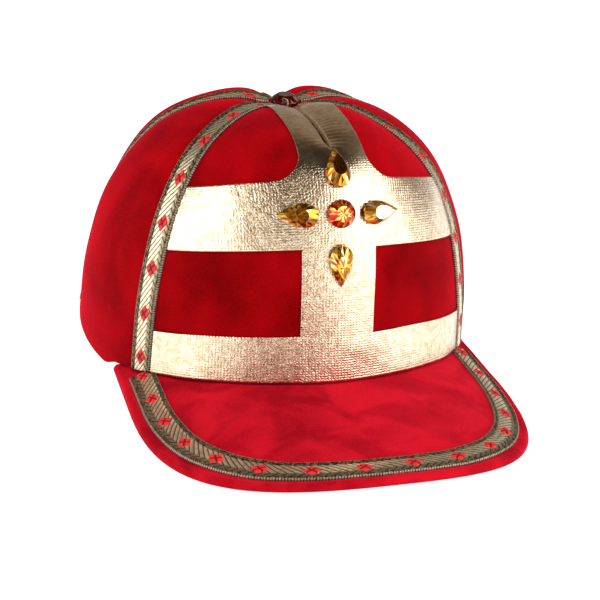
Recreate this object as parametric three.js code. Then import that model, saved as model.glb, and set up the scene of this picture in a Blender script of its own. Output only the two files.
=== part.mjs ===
// A soft velvet cap dressed as a bishop's mitre: five crown panels sewn together under gold braid,
// a gold foil cross on the front panel, glued cut stones and an arched visor with its own braid.
// Millimetres, +Z up, the visor points to -Y, the mirror plane is X = 0 and the cap rests on Z = 0.
import * as THREE from 'three';

// Crown, outside sizes measured from the vertical line through its top
const HEM_WIDTH = 178;
const HEM_FRONT = 95.4;
const HEM_BACK = 101;
const HEM_ROUNDNESS = 1.9;
const CROWN_HEIGHT = 111.5;
const CLOTH = 2;
const PANEL_PUFF = 4.1;
const PUFF_HEIGHT = 0.75;
const FRONT_VALLEY = 1.5;
const REAR_VALLEY = 2.4;
const VALLEY_WIDTH = 7.5;
const DART_FOOT = 0.4;
const DIMPLE_DEPTH = 5.4;
const DIMPLE_RADIUS = 17.2;
const TOP_HOLE_RADIUS = 4.2;

// Azimuths in degrees from the front, the same on both sides
const FRONT_SEAM = 53.5;
const REAR_SEAM = 111;
const SETTLE_START = 2;
const HEM_SETTLE = 6;
const EAR_START = 66;
const EAR_END = 138;

// The hem lifts a little over the ears
const EAR_LIFT = 3.4;

// Clearance between pieces that touch
const GAP = 0.4;

// Visor
const VISOR_WIDTH = 163;
const VISOR_REACH = 75.2;
const VISOR_CORNER_START = 73.9;
const VISOR_ROUNDNESS = 2.53;
const VISOR_THICKNESS = 3;
const VISOR_ARCH = 15.3;
const ARCH_ROUNDNESS = 2.4;
const VISOR_TUCK = 2;

// Gold foil cross, heights measured along the cloth from the hem
const FOIL = 0.8;
const BAND_TOP = 19.8;
const CROSSBAR_LOW = 56.4;
const CROSSBAR_HIGH = 83.7;
const ARM_WIDTH = 30.2;
const ARM_FILLET = 10.6;

// Braid
const BRAID_WIDTH = 10.6;
const BRAID_THICKNESS = 1.2;
const BRAID_MARGIN = 3.8;
const BRAID_TRIM = 0.6;
const BRAID_SPREAD = 23;
const CROWN_STONE_RADIUS = 6.4;
const STONE_CLEAR = 1.2;

// Glued stones
const DROP_LENGTH = 17.2;
const DROP_WIDTH = 9.8;
const DROP_HEIGHT = 4;
const ROUND_STONE_RADIUS = 5.7;
const ROUND_STONE_HEIGHT = 4;
const SIDE_DROP_DISTANCE = 17.4;
const TOP_DROP_DISTANCE = 17.9;
const BOTTOM_DROP_DISTANCE = 20.9;
const CROWN_STONE_HEIGHT = 3.4;

// Half meridians of the crown, front to back. rise: height of the lower handle as a share of the
// crown's height. lean: its distance from the axis, shoulder: the upper handle's, as shares of the hem's.
const MERIDIANS = [
  { azimuth: 0, rise: 1.1, lean: 0.88, shoulder: 0.86 },
  { azimuth: 60, rise: 0.9, lean: 0.943, shoulder: 0.511 },
  { azimuth: 120, rise: 0.18, lean: 0.925, shoulder: 1.0 },
  { azimuth: 180, rise: 0.6, lean: 1.02, shoulder: 0.16 },
];

// Each seam lies in a valley between its two panels, which sets in between these shares of the curve
const VALLEYS = [
  { seam: FRONT_SEAM, depth: FRONT_VALLEY, start: 0.35, full: 0.7 },
  { seam: REAR_SEAM, depth: REAR_VALLEY, start: 0, full: 0.25 },
  { seam: 180, depth: REAR_VALLEY, start: 0, full: 0.25 },
];
const VALLEY_LEAVES = 0.85;

// A cut stone's levels from its back to its table, as shares of its height and of its outline
const STONE_LEVELS = [
  { height: 0, outline: 0.8 },
  { height: 0.25, outline: 1 },
  { height: 0.6, outline: 0.86 },
  { height: 1, outline: 0.5 },
];
const STONE_SIDES = 12;

// Grid steps
const PANEL_ROWS = 21;
const FRONT_COLUMNS = 14;
const SIDE_COLUMNS = 12;
const BACK_COLUMNS = 10;
const BRAID_STEPS = 22;
const VISOR_COLUMNS = 22;
const VISOR_ROWS = 6;
const VISOR_BRAID_STEPS = 34;
const ARM_COLUMNS = 6;
const WING_COLUMNS = 9;
const FILLET_COLUMNS = 4;
const MERIDIAN_SAMPLES = 60;

const VELVET = { color: 0x9c1020, roughness: 0.95, metalness: 0 };
const VISOR_VELVET = { color: 0xb81a30, roughness: 0.95, metalness: 0 };
const GOLD_FOIL = { color: 0xd9c39a, roughness: 0.3, metalness: 1 };
const GOLD_BRAID = { color: 0xa8905c, roughness: 0.5, metalness: 0.8 };
const AMBER = { color: 0xd48a1c, roughness: 0.05, metalness: 0.2 };
const RUBY = { color: 0xb81408, roughness: 0.05, metalness: 0.2 };

const radians = THREE.MathUtils.degToRad;
const degrees = THREE.MathUtils.radToDeg;
const lerp = THREE.MathUtils.lerp;

function fold(azimuth) {
  // 0 at the front to 180 at the back, whichever side
  return Math.abs(((azimuth + 540) % 360) - 180);
}

function meridian(azimuth, column) {
  // A smooth curve through the table's column, mirrored at the front and the back
  const last = MERIDIANS.length - 1;
  const place = (fold(azimuth) / 180) * last;
  const k = Math.min(Math.floor(place), last - 1);
  const value = (i) => MERIDIANS[i < 0 ? -i : i > last ? 2 * last - i : i][column];
  const f = place - k;
  const [a, b, c, d] = [value(k - 1), value(k), value(k + 1), value(k + 2)];
  return b + 0.5 * f * (c - a + f * (2 * a - 5 * b + 4 * c - d + f * (3 * (b - c) + d - a)));
}

function hemPoint(azimuth) {
  const s = Math.sin(radians(azimuth));
  const c = Math.cos(radians(azimuth));
  const depth = c > 0 ? HEM_FRONT : HEM_BACK;
  const sum = Math.abs(s / (HEM_WIDTH / 2)) ** HEM_ROUNDNESS + Math.abs(c / depth) ** HEM_ROUNDNESS;
  const radius = sum ** (-1 / HEM_ROUNDNESS);
  return new THREE.Vector2(radius * s, -radius * c);
}

function bisect(low, high, isBelow) {
  for (let i = 0; i < 40; i++) {
    const middle = (low + high) / 2;
    if (isBelow(middle)) low = middle;
    else high = middle;
  }
  return (low + high) / 2;
}

function visorTop(x) {
  // The visor arches over its width and its two side edges lie on the surface
  const out = Math.min(Math.abs(x) / (VISOR_WIDTH / 2), 1);
  return VISOR_THICKNESS + VISOR_ARCH * (1 - out ** ARCH_ROUNDNESS);
}

// The azimuth at which the visor's side edge, tucked in a little, runs into the hem
const VISOR_END = bisect(0, 90, (azimuth) => hemPoint(azimuth).x < VISOR_WIDTH / 2 - VISOR_TUCK);

function hemHeight(azimuth, x) {
  // Over the visor in front, then down to the surface beside it, and a slight lift over the ears
  const start = VISOR_END + SETTLE_START;
  const around = fold(azimuth);
  const down = THREE.MathUtils.smoothstep(around, start, start + HEM_SETTLE);
  const overEar = THREE.MathUtils.clamp((around - EAR_START) / (EAR_END - EAR_START), 0, 1);
  return (visorTop(x) + GAP) * (1 - down) + EAR_LIFT * Math.sin(Math.PI * overEar) ** 2;
}

function smoothCrown(azimuth, t) {
  // One cubic curve from the hem to the top; t is the curve's own parameter
  const hem = hemPoint(azimuth);
  const u = 1 - t;
  const [b0, b1, b2, b3] = [u ** 3, 3 * t * u * u, 3 * t * t * u, t ** 3];
  const reach = b0 + b1 * meridian(azimuth, 'lean') + b2 * meridian(azimuth, 'shoulder');
  const climb = b1 * meridian(azimuth, 'rise') + b2 + b3;
  const height = hemHeight(azimuth, hem.x) * (1 - climb) + CROWN_HEIGHT * climb;
  return { point: new THREE.Vector3(hem.x * reach, hem.y * reach, height), climb };
}

function puff(azimuth, t) {
  // Each panel swells between its seams; the front panel's halves swell only above its dart's foot
  const seams = [0, FRONT_SEAM, REAR_SEAM, 180];
  const around = fold(azimuth);
  const k = Math.min(seams.filter((seam) => seam <= around).length - 1, seams.length - 2);
  const across = (around - seams[k]) / (seams[k + 1] - seams[k]);
  const upper = k === 0 ? THREE.MathUtils.smoothstep(t, DART_FOOT, 1) : 1;
  return PANEL_PUFF * upper * Math.sin(Math.PI * t ** PUFF_HEIGHT) * 4 * across * (1 - across);
}

function sink(azimuth, t, radius) {
  // How deep the valleys of the seams are here
  let total = 0;
  VALLEYS.forEach(({ seam, depth, start, full }) => {
    const away = (radians(Math.abs(fold(azimuth) - seam)) * radius) / VALLEY_WIDTH;
    total += depth * THREE.MathUtils.smoothstep(t, start, full) * Math.exp(-(away ** 2));
  });
  return total * (1 - THREE.MathUtils.smoothstep(t, VALLEY_LEAVES, 1));
}

const wayTables = new Map();

function wayTable(azimuth) {
  if (!wayTables.has(azimuth)) {
    const points = [];
    for (let i = 0; i <= MERIDIAN_SAMPLES; i++) points.push(smoothCrown(azimuth, i / MERIDIAN_SAMPLES).point);
    const lengths = [0];
    for (let i = 1; i < points.length; i++) lengths.push(lengths[i - 1] + points[i].distanceTo(points[i - 1]));
    wayTables.set(azimuth, lengths);
  }
  return wayTables.get(azimuth);
}

function curveParameter(azimuth, way) {
  // way is the share of the length along the cloth from the hem to the top
  const lengths = wayTable(azimuth);
  const target = THREE.MathUtils.clamp(way, 0, 1) * lengths[MERIDIAN_SAMPLES];
  const i = Math.min(lengths.filter((length) => length <= target).length - 1, MERIDIAN_SAMPLES - 1);
  return (i + (target - lengths[i]) / (lengths[i + 1] - lengths[i])) / MERIDIAN_SAMPLES;
}

const FRONT_LENGTH = wayTable(0)[MERIDIAN_SAMPLES];
const wayAt = (height) => height / FRONT_LENGTH;

function crownNormal(azimuth, t) {
  const along = smoothCrown(azimuth + 0.5, t).point.sub(smoothCrown(azimuth - 0.5, t).point);
  const above = smoothCrown(azimuth, Math.min(t + 0.01, 1)).point;
  const up = above.sub(smoothCrown(azimuth, Math.max(t - 0.01, 0)).point);
  return along.cross(up).normalize();
}

function crownPoint(azimuth, way, offset = 0) {
  // The cloth's outer face, moved out by offset. Its lowest row keeps to the hem's height
  const t = curveParameter(azimuth, way);
  const { point, climb } = smoothCrown(azimuth, t);
  const radius = Math.hypot(point.x, point.y) || 1;
  const out = puff(azimuth, t) - sink(azimuth, t, radius);
  const level = Math.sqrt(Math.max(0, 1 - climb * climb));
  const dimple = DIMPLE_DEPTH * Math.exp(-((radius / DIMPLE_RADIUS) ** 2));
  const swell = new THREE.Vector3((point.x / radius) * level * out, (point.y / radius) * level * out, climb * out);
  point.add(swell);
  point.z -= dimple;
  point.addScaledVector(crownNormal(azimuth, t), offset);
  if (way === 0) point.z = hemHeight(azimuth, point.x);
  return point;
}

function gridShell(columns, rows, outer, inner, filled = () => true) {
  // A closed shell over the filled cells of a grid: outer and inner faces, and a wall round every edge
  const positions = [];
  const known = new Map();
  const faces = [];
  const corner = (side, i, j) => {
    const key = `${side},${i},${j}`;
    if (!known.has(key)) {
      known.set(key, positions.length / 3);
      positions.push(...(side === 'outer' ? outer : inner)(i, j).toArray());
    }
    return known.get(key);
  };
  const quad = (a, b, c, d) => faces.push(a, b, c, a, c, d);
  const has = (i, j) => i >= 0 && j >= 0 && i < columns && j < rows && filled(i, j);
  for (let i = 0; i < columns; i++) {
    for (let j = 0; j < rows; j++) {
      if (!has(i, j)) continue;
      const ring = [[i, j], [i + 1, j], [i + 1, j + 1], [i, j + 1]];
      const beside = [[i, j - 1], [i + 1, j], [i, j + 1], [i - 1, j]];
      const [a, b, c, d] = ring.map((p) => corner('outer', ...p));
      const [e, f, g, h] = ring.map((p) => corner('inner', ...p));
      quad(a, b, c, d);
      faces.push(e, g, f, e, h, g);
      beside.forEach((cell, side) => {
        if (has(...cell)) return;
        const from = ring[side];
        const to = ring[(side + 1) % 4];
        quad(corner('outer', ...to), corner('outer', ...from), corner('inner', ...from), corner('inner', ...to));
      });
    }
  }
  const geometry = new THREE.BufferGeometry();
  geometry.setAttribute('position', new THREE.Float32BufferAttribute(positions, 3));
  geometry.setIndex(faces);
  geometry.computeVertexNormals();
  return geometry;
}

const cap = new THREE.Group();

function add(name, geometry, finish) {
  const mesh = new THREE.Mesh(geometry, new THREE.MeshStandardMaterial(finish));
  mesh.name = name;
  cap.add(mesh);
  return mesh;
}

function angleAcross(azimuth, way, width) {
  // The angle about the crown's axis that a width on the cloth takes there
  const { point } = smoothCrown(azimuth, curveParameter(azimuth, way));
  return degrees(Math.atan2(width, Math.hypot(point.x, point.y)));
}

function wayAtRadius(azimuth, radius) {
  return bisect(0.5, 1, (way) => {
    const { point } = smoothCrown(azimuth, curveParameter(azimuth, way));
    return Math.hypot(point.x, point.y) > radius;
  });
}

function panel(name, from, to, columns) {
  const top = wayAtRadius((from + to) / 2, TOP_HOLE_RADIUS);
  const place = (offset) => (i, j) => {
    const way = (j / PANEL_ROWS) * top;
    const start = from + angleAcross(from, way, GAP / 2);
    const end = to - angleAcross(to, way, GAP / 2);
    return crownPoint(lerp(start, end, i / columns), way, offset);
  };
  add(name, gridShell(columns, PANEL_ROWS, place(0), place(-CLOTH)), VELVET);
}

panel('front_panel', -FRONT_SEAM, FRONT_SEAM, FRONT_COLUMNS);
panel('side_panel_right', FRONT_SEAM, REAR_SEAM, SIDE_COLUMNS);
panel('back_panel_right', REAR_SEAM, 180, BACK_COLUMNS);
panel('back_panel_left', 180, 360 - REAR_SEAM, BACK_COLUMNS);
panel('side_panel_left', 360 - REAR_SEAM, 360 - FRONT_SEAM, SIDE_COLUMNS);

// How near the top the braids and the foil may come
const TRIM_RADIUS = CROWN_STONE_RADIUS + STONE_CLEAR;

function braidHalfAngle(azimuth, way) {
  return Math.min(angleAcross(azimuth, way, BRAID_WIDTH / 2), BRAID_SPREAD);
}

function seamBraid(name, seam) {
  const top = wayAtRadius(seam, TRIM_RADIUS);
  const foot = wayAt(BRAID_TRIM);
  const place = (offset) => (i, j) => {
    const way = lerp(foot, top, j / BRAID_STEPS);
    return crownPoint(seam + (i - 1) * braidHalfAngle(seam, way), way, offset);
  };
  add(name, gridShell(2, BRAID_STEPS, place(GAP + BRAID_THICKNESS), place(GAP)), GOLD_BRAID);
}

seamBraid('braid_front_right', FRONT_SEAM);
seamBraid('braid_front_left', -FRONT_SEAM);
seamBraid('braid_rear_right', REAR_SEAM);
seamBraid('braid_rear_left', -REAR_SEAM);
seamBraid('braid_back', 180);

function goldCross() {
  // One foil appliqué: a band along the hem, a crossbar and an arm that runs up to the top
  const top = wayAtRadius(0, TRIM_RADIUS);
  const levels = [
    { way: wayAt(BRAID_TRIM), steps: 2 },
    { way: wayAt(BAND_TOP), steps: 4 },
    { way: wayAt(CROSSBAR_LOW), steps: 8 },
    { way: wayAt(CROSSBAR_HIGH), steps: 12 },
    { way: top, steps: 0 },
  ];
  const ways = [];
  levels.forEach(({ way, steps }, k) => {
    for (let s = 0; s < steps; s++) ways.push(lerp(way, levels[k + 1].way, s / steps));
  });
  ways.push(top);
  const firstBar = levels[0].steps + levels[1].steps;
  const lastBar = firstBar + levels[2].steps;
  const inBar = (j) => j < levels[0].steps || (j >= firstBar && j < lastBar);
  const columns = 2 * WING_COLUMNS + ARM_COLUMNS;
  const seamSide = (way) => FRONT_SEAM - braidHalfAngle(FRONT_SEAM, way) - angleAcross(FRONT_SEAM, way, GAP);
  const armSide = (way) => {
    const limit = seamSide(way);
    return bisect(0, limit, (azimuth) => crownPoint(azimuth, way).x < ARM_WIDTH / 2);
  };
  const filletShare = (way) => angleAcross(0, way, ARM_FILLET) / (seamSide(way) - armSide(way));
  // The wing's first columns go round the fillet's arc and the rest share the way to the seam
  const wingShare = (k, way) => {
    const fillet = filletShare(way);
    if (k > FILLET_COLUMNS) return lerp(fillet, 1, (k - FILLET_COLUMNS) / (WING_COLUMNS - FILLET_COLUMNS));
    return fillet * (1 - Math.cos(((k / FILLET_COLUMNS) * Math.PI) / 2));
  };
  const place = (offset) => (i, j) => {
    let way = ways[j];
    const wing = i < WING_COLUMNS ? WING_COLUMNS - i : Math.max(i - WING_COLUMNS - ARM_COLUMNS, 0);
    const side = i < WING_COLUMNS ? -1 : 1;
    const share = wing > 0 ? wingShare(wing, way) : 0;
    // Above the crossbar's middle the rows bend up into the fillet
    const into = Math.max(0, 1 - share / filletShare(way)) * ARM_FILLET;
    const lift = ARM_FILLET - Math.sqrt(ARM_FILLET ** 2 - into ** 2);
    const middle = (ways[firstBar] + ways[lastBar]) / 2;
    if (way > middle && j <= lastBar) way += (wayAt(lift) * (way - middle)) / (ways[lastBar] - middle);
    if (j > lastBar) way = lerp(ways[lastBar] + wayAt(lift), top, (way - ways[lastBar]) / (top - ways[lastBar]));
    const arm = armSide(way);
    const azimuth = wing > 0
      ? side * lerp(arm, seamSide(way), share)
      : lerp(-arm, arm, (i - WING_COLUMNS) / ARM_COLUMNS);
    return crownPoint(azimuth, way, offset);
  };
  const filled = (i, j) => inBar(j) || (i >= WING_COLUMNS && i < WING_COLUMNS + ARM_COLUMNS);
  add('gold_cross', gridShell(columns, ways.length - 1, place(GAP + FOIL), place(GAP), filled), GOLD_FOIL);
}

goldCross();

function visorLine(inset, share) {
  // A line in plan that keeps inset from the visor's edge, from share -1 at the left to 1 at the right
  const turn = (share * Math.PI) / 2;
  const across = VISOR_WIDTH / 2 - inset;
  const ahead = HEM_FRONT + VISOR_REACH - VISOR_CORNER_START - inset;
  const power = 2 / VISOR_ROUNDNESS;
  const x = across * Math.sign(share) * Math.abs(Math.sin(turn)) ** power;
  return new THREE.Vector2(x, -VISOR_CORNER_START - ahead * Math.abs(Math.cos(turn)) ** power);
}

function visor() {
  const place = (drop) => (i, j) => {
    const share = (2 * i) / VISOR_COLUMNS - 1;
    const root = crownPoint(share * VISOR_END, 0, -CLOTH);
    const rim = visorLine(0, share);
    const x = lerp(root.x, rim.x, 1 - j / VISOR_ROWS);
    const y = lerp(root.y, rim.y, 1 - j / VISOR_ROWS);
    return new THREE.Vector3(x, y, visorTop(x) - drop);
  };
  add('visor', gridShell(VISOR_COLUMNS, VISOR_ROWS, place(0), place(VISOR_THICKNESS)), VISOR_VELVET);
}

visor();

function visorBraid() {
  // Round the curved edge, then straight back along both sides to the crown
  const straight = 4;
  const columns = VISOR_BRAID_STEPS + 2 * straight;
  const clear = 2 * GAP + BRAID_THICKNESS;
  const linePoint = (inset, i) => {
    const share = THREE.MathUtils.clamp((2 * (i - straight)) / VISOR_BRAID_STEPS - 1, -1, 1);
    const point = visorLine(inset, share);
    const past = Math.max(straight - i, i - straight - VISOR_BRAID_STEPS, 0) / straight;
    const azimuth = bisect(0, 90, (angle) => crownPoint(angle, 0, clear).x < Math.abs(point.x));
    point.y = lerp(point.y, crownPoint(azimuth, 0, clear).y, past);
    return point;
  };
  const place = (offset) => (i, j) => {
    const point = linePoint(BRAID_MARGIN + (BRAID_WIDTH * j) / 2, i);
    return new THREE.Vector3(point.x, point.y, visorTop(point.x) + offset);
  };
  add('visor_braid', gridShell(columns, 2, place(GAP + BRAID_THICKNESS), place(GAP)), GOLD_BRAID);
}

visorBraid();

function dropOutline(turn) {
  // A pear: pointed at turn 0, round at turn 180
  const width = Math.sin(turn) * Math.sin(Math.abs(turn) / 2);
  const widest = 0.77;
  return new THREE.Vector2((DROP_LENGTH / 2) * Math.cos(turn), ((DROP_WIDTH / 2) * width) / widest);
}

const roundOutline = (radius) => (turn) => new THREE.Vector2(radius * Math.cos(turn), radius * Math.sin(turn));

function cutStone(outline, height) {
  // Rings of facets between the levels, closed by a flat back and a flat table
  const positions = [];
  const faces = [];
  STONE_LEVELS.forEach((level) => {
    for (let k = 0; k < STONE_SIDES; k++) {
      const turn = (2 * Math.PI * k) / STONE_SIDES;
      const point = outline(turn > Math.PI ? turn - 2 * Math.PI : turn).multiplyScalar(level.outline);
      positions.push(point.x, point.y, level.height * height);
    }
  });
  const at = (level, k) => level * STONE_SIDES + (k % STONE_SIDES);
  for (let level = 0; level + 1 < STONE_LEVELS.length; level++) {
    for (let k = 0; k < STONE_SIDES; k++) {
      faces.push(at(level, k), at(level, k + 1), at(level + 1, k + 1));
      faces.push(at(level, k), at(level + 1, k + 1), at(level + 1, k));
    }
  }
  for (let k = 1; k + 1 < STONE_SIDES; k++) {
    faces.push(at(0, 0), at(0, k + 1), at(0, k));
    faces.push(at(STONE_LEVELS.length - 1, 0), at(STONE_LEVELS.length - 1, k), at(STONE_LEVELS.length - 1, k + 1));
  }
  const geometry = new THREE.BufferGeometry();
  geometry.setAttribute('position', new THREE.Float32BufferAttribute(positions, 3));
  geometry.setIndex(faces);
  geometry.computeVertexNormals();
  return geometry;
}

function glue(name, geometry, finish, azimuth, height, pointing) {
  // A stone seated on the foil; pointing turns its point from straight up, clockwise seen from in front
  const way = wayAt(height);
  const t = curveParameter(azimuth, way);
  const normal = crownNormal(azimuth, t);
  const upward = crownPoint(azimuth, way + 0.01).sub(crownPoint(azimuth, way - 0.01));
  const sideways = upward.clone().cross(normal).normalize();
  const up = normal.clone().cross(sideways);
  const ahead = up.multiplyScalar(Math.cos(radians(pointing))).addScaledVector(sideways, Math.sin(radians(pointing)));
  const basis = new THREE.Matrix4().makeBasis(ahead, normal.clone().cross(ahead), normal);
  const mesh = add(name, geometry, finish);
  mesh.quaternion.setFromRotationMatrix(basis);
  mesh.position.copy(crownPoint(azimuth, way, 2 * GAP + FOIL));
}

const centreHeight = (CROSSBAR_LOW + CROSSBAR_HIGH) / 2;
const sideAngle = angleAcross(0, wayAt(centreHeight), SIDE_DROP_DISTANCE);
const drop = () => cutStone(dropOutline, DROP_HEIGHT);
const roundStone = cutStone(roundOutline(ROUND_STONE_RADIUS), ROUND_STONE_HEIGHT);
glue('stone_center', roundStone, RUBY, 0, centreHeight, 0);
glue('stone_top', drop(), AMBER, 0, centreHeight + TOP_DROP_DISTANCE, 0);
glue('stone_bottom', drop(), AMBER, 0, centreHeight - BOTTOM_DROP_DISTANCE, 180);
glue('stone_right', drop(), AMBER, sideAngle, centreHeight, 90);
glue('stone_left', drop(), AMBER, -sideAngle, centreHeight, -90);

// The crown stone lies in the dimple and covers the hole where the panels meet
const seatHeights = Array.from({ length: STONE_SIDES * 2 }, (_, k) => {
  const azimuth = (k * 180) / STONE_SIDES;
  return crownPoint(azimuth, wayAtRadius(azimuth, CROWN_STONE_RADIUS)).z;
});
const crownStone = add('crown_stone', cutStone(roundOutline(CROWN_STONE_RADIUS), CROWN_STONE_HEIGHT), RUBY);
crownStone.position.z = Math.max(...seatHeights) + GAP;

// The origin is under the middle of the whole cap
const bounds = new THREE.Box3().setFromObject(cap);
cap.position.y = -(bounds.min.y + bounds.max.y) / 2;

export default cap;
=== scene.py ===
import bpy
import numpy as np
from mathutils import Matrix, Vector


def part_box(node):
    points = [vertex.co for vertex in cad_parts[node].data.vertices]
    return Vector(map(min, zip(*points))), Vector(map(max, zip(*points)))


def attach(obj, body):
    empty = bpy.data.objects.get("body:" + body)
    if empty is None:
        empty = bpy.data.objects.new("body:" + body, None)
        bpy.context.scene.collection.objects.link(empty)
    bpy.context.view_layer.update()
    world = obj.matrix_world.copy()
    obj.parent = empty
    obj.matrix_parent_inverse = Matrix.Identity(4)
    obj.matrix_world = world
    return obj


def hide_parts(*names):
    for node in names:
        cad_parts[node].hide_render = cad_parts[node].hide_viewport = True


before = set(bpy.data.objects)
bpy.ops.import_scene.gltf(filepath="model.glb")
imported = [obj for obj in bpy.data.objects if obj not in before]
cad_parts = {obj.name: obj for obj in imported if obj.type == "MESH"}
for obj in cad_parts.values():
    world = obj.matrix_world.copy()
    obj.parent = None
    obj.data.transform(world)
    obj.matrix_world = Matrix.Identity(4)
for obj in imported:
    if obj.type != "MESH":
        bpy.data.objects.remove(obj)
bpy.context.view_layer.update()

MM = 0.001

# Crown, outside sizes measured from the vertical line through its top
HEM_WIDTH = 178 * MM
HEM_FRONT = 95.4 * MM
HEM_BACK = 101 * MM
HEM_ROUNDNESS = 1.9
CROWN_HEIGHT = 111.5 * MM
CLOTH = 2 * MM
PANEL_PUFF = 4.1 * MM
PUFF_HEIGHT = 0.75
FRONT_VALLEY = 1.5 * MM
REAR_VALLEY = 2.4 * MM
VALLEY_WIDTH = 7.5 * MM
VALLEY_LEAVES = 0.85
DART_FOOT = 0.4
DIMPLE_DEPTH = 5.4 * MM
DIMPLE_RADIUS = 17.2 * MM
TOP_HOLE_RADIUS = 4.2 * MM
MERIDIANS = {
    "azimuth": (0, 60, 120, 180),
    "rise": (1.1, 0.9, 0.18, 0.6),
    "lean": (0.88, 0.943, 0.925, 1.02),
    "shoulder": (0.86, 0.511, 1.0, 0.16),
}

# Azimuths in degrees from the front, the same on both sides
FRONT_SEAM = 53.5
REAR_SEAM = 111
SETTLE_START = 2
HEM_SETTLE = 6
EAR_START = 66
EAR_END = 138
EAR_LIFT = 3.4 * MM

# Each valley's seam and depth, and where up the crown it starts and is full
VALLEYS = (
    (FRONT_SEAM, FRONT_VALLEY, 0.35, 0.7), (REAR_SEAM, REAR_VALLEY, 0, 0.25), (180, REAR_VALLEY, 0, 0.25),
)

# Clearance between pieces that touch
GAP = 0.4 * MM

# Visor
VISOR_WIDTH = 163 * MM
VISOR_REACH = 75.2 * MM
VISOR_CORNER_START = 73.9 * MM
VISOR_ROUNDNESS = 2.53
VISOR_THICKNESS = 3 * MM
VISOR_ARCH = 15.3 * MM
ARCH_ROUNDNESS = 2.4
VISOR_TUCK = 2 * MM

# Gold foil cross, heights measured along the cloth from the hem
FOIL_CLEAR = 0.2 * MM
FOIL = 0.45 * MM
FOIL_FOOT = 0.3 * MM
HEM_TURN = 1.4 * MM
BAND_TOP = 19.8 * MM
CROSSBAR_LOW = 56.4 * MM
CROSSBAR_HIGH = 83.7 * MM
ARM_WIDTH = 30.2 * MM
ARM_FILLET = 10.6 * MM
SATIN_START = 84 * MM
SATIN_FULL = 98 * MM
CREASE_HEIGHT = 27 * MM
CREASE_LEAN = 11 * MM
CREASE_FOOT = 36 * MM
SPECKLE_MIDDLE = 24 * MM
SPECKLE_REACH = 26 * MM

# Braid
BRAID_WIDTH = 10.6 * MM
BRAID_MARGIN = 3.8 * MM
BRAID_CLEAR = 0.15 * MM
BRAID_FOOT = 0.6 * MM
BRAID_SPREAD = 23
BRAID_TOP_RADIUS = 7.2 * MM
BRAID_GROUND = 3.3 * MM
BEAD_PITCH = 1.05 * MM
DIAMOND_PITCH = 19.5 * MM
DIAMOND_FIRST = 6.4 * MM
DIAMOND_FIRST_RIGHT = 12.8 * MM
DIAMOND_FIRST_VISOR = 2.9 * MM
DIAMOND_HALF_WIDTH = 2.85 * MM
DIAMOND_HALF_LENGTH = 3.9 * MM
WIRE_PITCH = 3.1 * MM
WIRE_TURN = 1.9 * MM
WIRE_SLANT = 1.5

# Glued stones
STONE_BASE = 1.6 * MM
DROP_LENGTH = 17.2 * MM
DROP_WIDTH = 9.8 * MM
DROP_HEIGHT = 4 * MM
ROUND_STONE_RADIUS = 5.7 * MM
ROUND_STONE_HEIGHT = 4 * MM
SIDE_DROP_DISTANCE = 17.4 * MM
TOP_DROP_DISTANCE = 17.9 * MM
BOTTOM_DROP_DISTANCE = 20.9 * MM
CROWN_STONE_RADIUS = 6.4 * MM
CROWN_STONE_HEIGHT = 3.4 * MM

# The source centres the cap on its box, so the crown's axis lies this far behind the origin
AXIS_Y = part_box("visor")[0][1] + HEM_FRONT + VISOR_REACH


# The crown's surface

def smoothstep(x, low, high):
    """0 below low, 1 above high, and the smooth cubic between them."""
    share = np.clip((x - low) / (high - low), 0, 1)
    return share * share * (3 - 2 * share)


def fold(azimuth):
    """0 at the front to 180 at the back, whichever side."""
    return np.abs((azimuth + 540) % 360 - 180)


def meridian(azimuth, column):
    """The smooth cubic through the table's four values, mirrored at the front and at the back."""
    values = np.array(MERIDIANS[column])
    mirrored = np.concatenate([values[1:2], values, values[-2:-1]])
    place = fold(azimuth) / 60
    k = np.minimum(place.astype(int), len(values) - 2)
    f = place - k
    a, b, c, d = (mirrored[k + i] for i in range(4))
    return b + 0.5 * f * (c - a + f * (2 * a - 5 * b + 4 * c - d + f * (3 * (b - c) + d - a)))


def hem_point(azimuth):
    """A superellipse in plan: |x / half width| ** n + |y / depth| ** n = 1, deeper at the back."""
    s, c = np.sin(np.radians(azimuth)), np.cos(np.radians(azimuth))
    depth = np.where(c > 0, HEM_FRONT, HEM_BACK)
    total = np.abs(s / (HEM_WIDTH / 2)) ** HEM_ROUNDNESS + np.abs(c / depth) ** HEM_ROUNDNESS
    radius = total ** (-1 / HEM_ROUNDNESS)
    return radius * s, -radius * c


def visor_top(x):
    """A flattened arch over the visor's width whose two ends lie one thickness above the floor."""
    out = np.minimum(np.abs(x) / (VISOR_WIDTH / 2), 1)
    return VISOR_THICKNESS + VISOR_ARCH * (1 - out ** ARCH_ROUNDNESS)


QUARTER = np.linspace(0, 90, 1801)
VISOR_END = np.interp(VISOR_WIDTH / 2 - VISOR_TUCK, hem_point(QUARTER)[0], QUARTER)


def hem_height(azimuth, x):
    """The hem lies on the visor in front, comes down to the floor beside it and lifts over the ears."""
    start = VISOR_END + SETTLE_START
    down = smoothstep(fold(azimuth), start, start + HEM_SETTLE)
    over_ear = np.clip((fold(azimuth) - EAR_START) / (EAR_END - EAR_START), 0, 1)
    return (visor_top(x) + GAP) * (1 - down) + EAR_LIFT * np.sin(np.pi * over_ear) ** 2


def smooth_crown(azimuth, t):
    """A cubic Bezier curve from the hem to the top: its handles are the meridian's shares of the hem's
    distance and of the crown's height. Gives the points and the climb, the share of the height."""
    x, y = hem_point(azimuth)
    u = 1 - t
    b0, b1, b2, b3 = u ** 3, 3 * t * u * u, 3 * t * t * u, t ** 3
    reach = b0 + b1 * meridian(azimuth, "lean") + b2 * meridian(azimuth, "shoulder")
    climb = b1 * meridian(azimuth, "rise") + b2 + b3
    height = hem_height(azimuth, x) * (1 - climb) + CROWN_HEIGHT * climb
    return np.stack([x * reach, y * reach, height], -1), climb


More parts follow.
